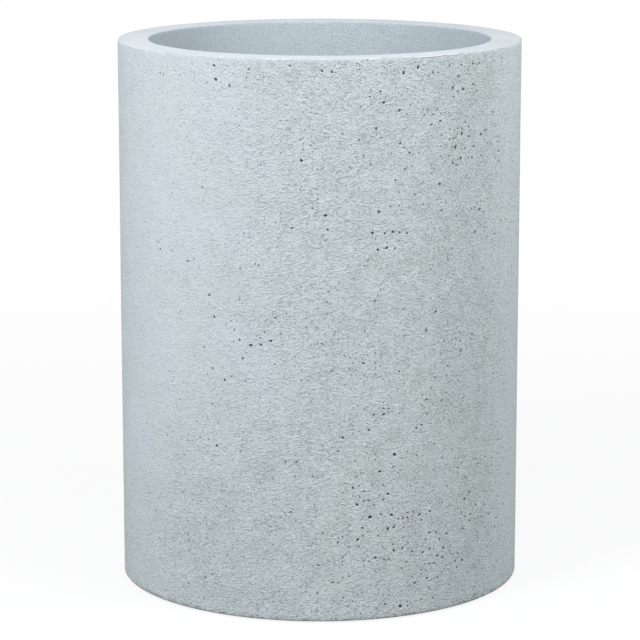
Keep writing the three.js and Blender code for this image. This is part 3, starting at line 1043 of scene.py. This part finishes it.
def liner_profile():
    base = LINER_LOW.z
    flange = base + LINER_DEPTH
    ledge = flange + FLANGE_THICKNESS
    top = LINER_HIGH.z
    edge = LINER_HIGH.x
    foot = liner_radius(LINER_DEPTH)
    foot_in = foot - LINER_FOOT_WIDTH
    under = base + LINER_FOOT_HEIGHT
    floor = under + LINER_WALL
    bead = 0.5 * BEAD_WIDTH
    corner = (foot - LINER_WALL - LINER_CORNER, floor + LINER_CORNER)
    neck = liner_radius(0)
    outside = [
        (liner_radius(drop) + ring_relief(drop, WALL_RINGS), flange - drop)
        for drop in wall_drops(3 * MM, LINER_DEPTH - 4 * MM)
    ]
    inside = [
        (liner_radius(drop) - LINER_WALL, flange - drop)
        for drop in wall_drops(4 * MM, flange - corner[1])
    ]
    return outline(
        (0, under),
        ((foot_in - 4 * MM, under), 12),
        [(foot_in - 3 * MM, under - 0.6 * MM)],
        ((foot_in - 0.6 * MM, base + 0.6 * MM), 3),
        [(foot_in, base)],
        ((foot - 5 * MM, base), 3),
        arc((foot - 4 * MM, base + 4 * MM), 4 * MM, -75, 0, 5),
        outside[::-1],
        arc((neck + 3 * MM, flange - 3 * MM), 3 * MM, 180, 90, 5),
        [(neck + 5 * MM, flange)],
        ((edge - 0.6 * MM, flange), 3),
        [(edge, flange + 0.8 * MM)],
        arc((edge - bead, top - bead), bead, 0, 180, 10),
        [(edge - BEAD_WIDTH - 0.6 * MM, ledge)],
        ((neck + MM, ledge), 3),
        arc((neck + MM, flange - MM), FLANGE_THICKNESS + MM, 90, 180, 6),
        inside,
        arc(corner, LINER_CORNER, 0, -90, 7),
        floor_rings(corner[0], floor),
    )


def floor_rings(radius, height):
    """The liner's floor from its corner in to the axis, with moulded rings and the gate's nub."""
    spots = {radius * k / 16 for k in range(1, 16)} | ring_spots(FLOOR_RINGS)
    spots.update((GATE_RADIUS, 0.9 * GATE_RADIUS, 0.6 * GATE_RADIUS, 0.0))

    def relief(r):
        return ring_relief(r, FLOOR_RINGS) + (GATE_HEIGHT if r < 0.95 * GATE_RADIUS else 0.0)

    return [(r, height + relief(r)) for r in sorted(spots, reverse=True)]


def lug_rings(turn, side):
    """One lug, a drilled plate that grows out of the liner's inner wall.

    turn is 1 at the right handle and -1 at the left one, and side is 1 or -1 along the hinge.
    """
    wall = liner_radius(PIVOT_DROP) - 0.5 * LINER_WALL
    near = side * LUG_START
    far = side * (LUG_START + LUG_THICKNESS)
    reach = math.sqrt(wall ** 2 - far ** 2) - PIVOT_RADIUS
    edge = outline(
        (0, LUG_RADIUS),
        arc((0, 0), LUG_RADIUS, 90, 270, 14),
        ((reach, -LUG_RADIUS), 3),
        ((reach, LUG_RADIUS), 5),
        ((0, LUG_RADIUS), 3),
    )[:-1]

    def reached(x, z, length):
        """The spot at this length from the bore's middle towards (x, z)."""
        return (x * length / math.hypot(x, z), z * length / math.hypot(x, z))

    bore = [reached(x, z, LUG_BORE) for x, z in edge]
    bore_edge = [reached(x, z, 1.15 * LUG_BORE) for x, z in edge]
    small = [reached(x, z, math.hypot(x, z) - LUG_BEVEL) for x, z in edge]
    bevel = side * LUG_BEVEL
    chamfer = side * BORE_BEVEL
    steps = [
        (bore, near + chamfer), (bore_edge, near), (small, near), (edge, near + bevel),
        (edge, far - bevel), (small, far), (bore_edge, far), (bore, far - chamfer),
    ]
    rings = [
        [((turn * (PIVOT_RADIUS + x), turn * y, PIVOT_HEIGHT + z), 1.0) for x, z in ring]
        for ring, y in steps
    ]
    return rings if side < 0 else [ring[::-1] for ring in rings]


def make_liner(material):
    """The liner, whose tone is lighter where its bead is rubbed."""
    def move(angle, radius, height):
        edge = smooth_step((height - LINER_HIGH.z) / RUBBED_BEAD + 1)
        return radius, height, 1 + 0.5 * edge

    builder = Builder()
    builder.loft(turned(liner_profile(), LINER_COLUMNS, move), (0, 0, 1, 0.94))
    for number, (turn, side) in enumerate([(1, 1), (1, -1), (-1, 1), (-1, -1)]):
        left = 0.25 * number
        builder.loft(lug_rings(turn, side), (left, 0.95, left + 0.24, 1), closed=True)
    piece("liner_pot", builder.mesh("liner_pot"), material, "black_plastic", "liner", "liner")


def wire_line():
    """The wire's middle line as (y, z) from its pivot, from one pin's end to the other."""
    leg = HANDLE_LEG
    half = outline(
        (PIN_END, 0),
        ((leg + PIN_BEND, 0), 3),
        arc((leg + PIN_BEND, -PIN_BEND), PIN_BEND, 90, 180, 6),
        ((leg, HANDLE_BEND - HANDLE_DROP), 5),
        arc((leg - HANDLE_BEND, HANDLE_BEND - HANDLE_DROP), HANDLE_BEND, 0, -90, 10),
        ((0, -HANDLE_DROP), 4),
    )
    return [(-y, z) for y, z in half] + half[-2::-1]


WIRE_SIDES = 16
# The wire's rounded end: (radius, how far in from the end), both as shares of the wire's radius
WIRE_TIP = [(0.35, 0.0), (0.8, 0.12), (1.0, 0.35)]


def wire_rings(x):
    """Rings along the bent wire, with ends that are rounded over."""
    line = wire_line()
    tips = {0: WIRE_TIP, len(line) - 1: [(share, -step) for share, step in reversed(WIRE_TIP)]}
    rings = []
    for k, spot in enumerate(line):
        before = line[max(k - 1, 0)]
        after = line[min(k + 1, len(line) - 1)]
        size = math.dist(before, after)
        ty = (after[0] - before[0]) / size
        tz = (after[1] - before[1]) / size
        for share, step in tips.get(k, [(1.0, 0.0)]):
            y = spot[0] + ty * step * WIRE_RADIUS
            z = PIVOT_HEIGHT + spot[1] + tz * step * WIRE_RADIUS
            ring = []
            for side in range(WIRE_SIDES):
                turn = TURN * side / WIRE_SIDES
                out = share * WIRE_RADIUS * math.sin(turn)
                position = (x + share * WIRE_RADIUS * math.cos(turn), y + out * tz, z - out * ty)
                ring.append((position, 1.0))
            rings.append(ring)
    ends = [[((x, y, PIVOT_HEIGHT + z), 1.0)] for y, z in (line[0], line[-1])]
    return ends[:1] + rings + ends[1:]


GRIP_SIDES = 40
GRIP_EDGE = 1.6 * MM
GRIP_STEP = 0.25 * MM
GRIP_SEAM = 0.18 * MM
FINGER_DEPTH = 0.9 * MM


def grip_radius(y):
    """The grip's radius here along it: a collar at each end, and a hollow for each finger."""
    inner = GRIP_HALF - GRIP_COLLAR
    if abs(y) > inner:
        return GRIP_RADIUS
    wave = 0.5 - 0.5 * math.cos(TURN * FINGERS * (y + inner) / (2 * inner))
    return GRIP_RADIUS - GRIP_STEP - FINGER_DEPTH * wave


def grip_rings(x):
    """Rings of the grip, along Y round the wire, down its outside and back through its bore."""
    height = PIVOT_HEIGHT - HANDLE_DROP
    bore = WIRE_RADIUS + PIN_GAP
    inner = GRIP_HALF - GRIP_COLLAR
    end = arc((GRIP_EDGE - GRIP_HALF, GRIP_RADIUS - GRIP_EDGE), GRIP_EDGE, 180, 90, 5)
    end.append((-inner - 0.05 * MM, GRIP_RADIUS))
    waves = [-inner + 2 * inner * k / 48 for k in range(49)]
    profile = end + [(y, grip_radius(y)) for y in waves] + [(-y, r) for y, r in reversed(end)]
    profile += [(GRIP_HALF, bore + BORE_BEVEL), (GRIP_HALF - BORE_BEVEL, bore)]
    profile += [(BORE_BEVEL - GRIP_HALF, bore), (-GRIP_HALF, bore + BORE_BEVEL)]
    rings = []
    for y, radius in profile:
        ring = []
        for k in range(GRIP_SIDES):
            turn = TURN * k / GRIP_SIDES
            on_seam = k % (GRIP_SIDES // 2) == 0 and radius > bore + MM
            r = radius + (GRIP_SEAM if on_seam else 0.0)
            ring.append(((x + r * math.cos(turn), y, height - r * math.sin(turn)), 1.0))
        rings.append(ring)
    return rings


def make_handles(wire_material, grip_material):
    for side, x in (("right", PIVOT_RADIUS), ("left", -PIVOT_RADIUS)):
        body = f"{side}_handle"
        wire = f"handle_wire_{side}"
        rings = wire_rings(x)
        lofted(f"{wire}_bent", rings, False, wire_material, "zinc_wire", body, wire)
        grip = f"handle_grip_{side}"
        rings = grip_rings(x)
        lofted(f"{grip}_moulded", rings, True, grip_material, "black_plastic", body, grip)


# -------- rubber plugs and pads

DRAIN_RADIUS = 11 * MM
ROUND_SIDES = 48
PLUG_GAP = 0.3 * MM
PLUG_HEAD = 6 * MM
PLUG_HEAD_HEIGHT = 4 * MM
PLUG_NECK = 5 * MM
PLUG_KNOB = 9 * MM
PLUG_FILLET = 1.5 * MM
PAD_RADIUS = 16 * MM
PAD_EDGE = 0.8 * MM
PAD_GROOVES = (5 * MM, 8 * MM, 11 * MM)


def plug_profile(zero):
    shank = DRAIN_RADIUS - PLUG_GAP
    head = DRAIN_RADIUS + PLUG_HEAD
    head_top = zero + PLUG_HEAD_HEIGHT
    knob = 3 * MM
    knob_base = zero + 10 * MM
    low = zero - 9 * MM
    return outline(
        (0, low),
        ((shank - 2 * MM, low), 3),
        arc((shank - 2 * MM, low + MM), MM, -90, 0, 4),
        ((shank, zero - 0.4 * MM), 4),
        [(shank, zero)],
        ((head - 0.8 * MM, zero), 3),
        arc((head - PLUG_FILLET, head_top - PLUG_FILLET), PLUG_FILLET, -60, 90, 8),
        ((PLUG_NECK + 6 * MM, head_top), 2),
        arc((PLUG_NECK + 5 * MM, head_top), MM, 0, -180, 8),
        arc((PLUG_NECK + PLUG_FILLET, head_top + PLUG_FILLET), PLUG_FILLET, 270, 180, 5),
        ((PLUG_NECK, knob_base), 2),
        arc((PLUG_KNOB - knob, knob_base + knob), knob, -90, 90, 12),
        ((2 * MM, knob_base + 2 * knob), 2),
        arc((0, knob_base + 2 * knob - 0.5 * MM), PLUG_FILLET, 30, 90, 3),
    )


def pad_profile(top):
    return outline(
        (0.0, 0.0),
        *[arc((groove, 0), 0.5 * MM, 180, 0, 5) for groove in PAD_GROOVES],
        [(PAD_RADIUS - 2 * MM, 0)],
        arc((PAD_RADIUS - PAD_EDGE, PAD_EDGE), PAD_EDGE, -90, 0, 5),
        [(PAD_RADIUS, top)],
        ((0, top), 3),
    )


def make_rubber_pieces(material):
    """The stoppers, each a body of its own, and the pads under the shell."""
    made = [(f"drain_plug_{k}", "stopper", plug_profile(FLOOR_HIGH.z)) for k in (1, 2, 3)]
    made += [(f"foot_pad_{k}", "disc", pad_profile(SHELL_LOW.z)) for k in (1, 2, 3, 4)]
    for node, kind, profile in made:
        low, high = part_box(node)
        centre = ((low.x + high.x) / 2, (low.y + high.y) / 2)
        body = node if kind == "stopper" else "planter"
        rings = turned(profile, ROUND_SIDES, centre=centre)
        lofted(f"{node}_{kind}", rings, False, material, "rubber", body, node)


# -------- light and floor

WHITE = (1, 1, 1, 1)
SKY = (0.97, 0.985, 1.0, 1)
SKY_STRENGTH = 0.61
FLOOR_HALF = 30.0
FLOOR_GLOW = 0.85
FLOOR_SEEN = (0.9, 0.9, 0.9, 1)
FLOOR_BOUNCE = (0.35, 0.35, 0.35, 1)
SHADOW_REACH = 0.5
WHITE_REACH = 2.5
LAMP_SIZE = 0.7
LAMP_AIM = Vector((0, 0, 0.45))
# (name, place, watts)
LAMPS = [("key", (-1.38, -1.59, 1.8), 35.5), ("fill", (1.05, -0.77, 1.3), 10)]


def make_world():
    """White where the camera or a reflection sees it, and a pale sky that lights the rest."""
    world = bpy.data.worlds.new("studio")
    bpy.context.scene.world = world
    world.use_nodes = True
    world.node_tree.nodes.clear()
    g = Graph(world.node_tree)
    rays = g.node("LightPath").outputs
    seen = g.math("MAXIMUM", rays["Is Camera Ray"], rays["Is Glossy Ray"])
    light = g.node("Background", {"Color": SKY, "Strength": SKY_STRENGTH})
    white = g.node("Background", {"Color": WHITE})
    mix = g.mix_shaders(seen, light.outputs[0], white.outputs[0])
    g.node("OutputWorld", {"Surface": mix})


def make_floor():
    """A floor that shows white and keeps a soft shadow, and throws little light back up."""
    mesh = bpy.data.meshes.new("floor")
    corners = [(-1, -1), (1, -1), (1, 1), (-1, 1)]
    mesh.from_pydata([(x * FLOOR_HALF, y * FLOOR_HALF, 0) for x, y in corners], [], [(0, 1, 2, 3)])
    floor = add_object("studio_floor", mesh)
    m = Material("studio_floor", roughness=0.9, specular=0.1)
    seen = m.node("LightPath").outputs["Is Camera Ray"]
    m.set("Base Color", m.mix(seen, FLOOR_BOUNCE, FLOOR_SEEN))
    glow = m.node("Emission", {"Color": WHITE, "Strength": 1.0}).outputs["Emission"]
    share = m.remap(m.distance(), SHADOW_REACH, WHITE_REACH, FLOOR_GLOW, 1.0)
    mix = m.mix_shaders(m.times(seen, share), m.shader.outputs["BSDF"], glow)
    m.link(mix, m.tree.nodes["Material Output"].inputs["Surface"])
    mesh.materials.append(m.data)


def make_lights():
    """Square soft lights that face the middle of the planter."""
    for name, place, power in LAMPS:
        data = bpy.data.lights.new(name, "AREA")
        data.size = LAMP_SIZE
        data.energy = power
        light = add_object(name, data)
        light.location = place
        light.rotation_euler = (LAMP_AIM - Vector(place)).to_track_quat("-Z", "Y").to_euler()
        light.visible_camera = False


# -------- the scene

make_camera()
make_world()
make_floor()
make_lights()
bpy.context.scene.view_settings.view_transform = "Standard"

make_shell(stone_face())
make_rim(rim_face())
finishes = {
    "laminate": laminate(),
    "black_plastic": black_plastic(),
    "rubber": rubber(),
    "zinc_wire": zinc_wire(),
}
slots = {row["node"]: row["material_slot"] for row in frame["record"]["subparts"]}
make_ledge(finishes["laminate"])
make_liner(finishes["black_plastic"])
make_handles(finishes["zinc_wire"], finishes["black_plastic"])
make_rubber_pieces(finishes["rubber"])
for name, node in frame["nodes"].items():
    if slots[name] in finishes:
        node.data.materials.clear()
        node.data.materials.append(finishes[slots[name]])
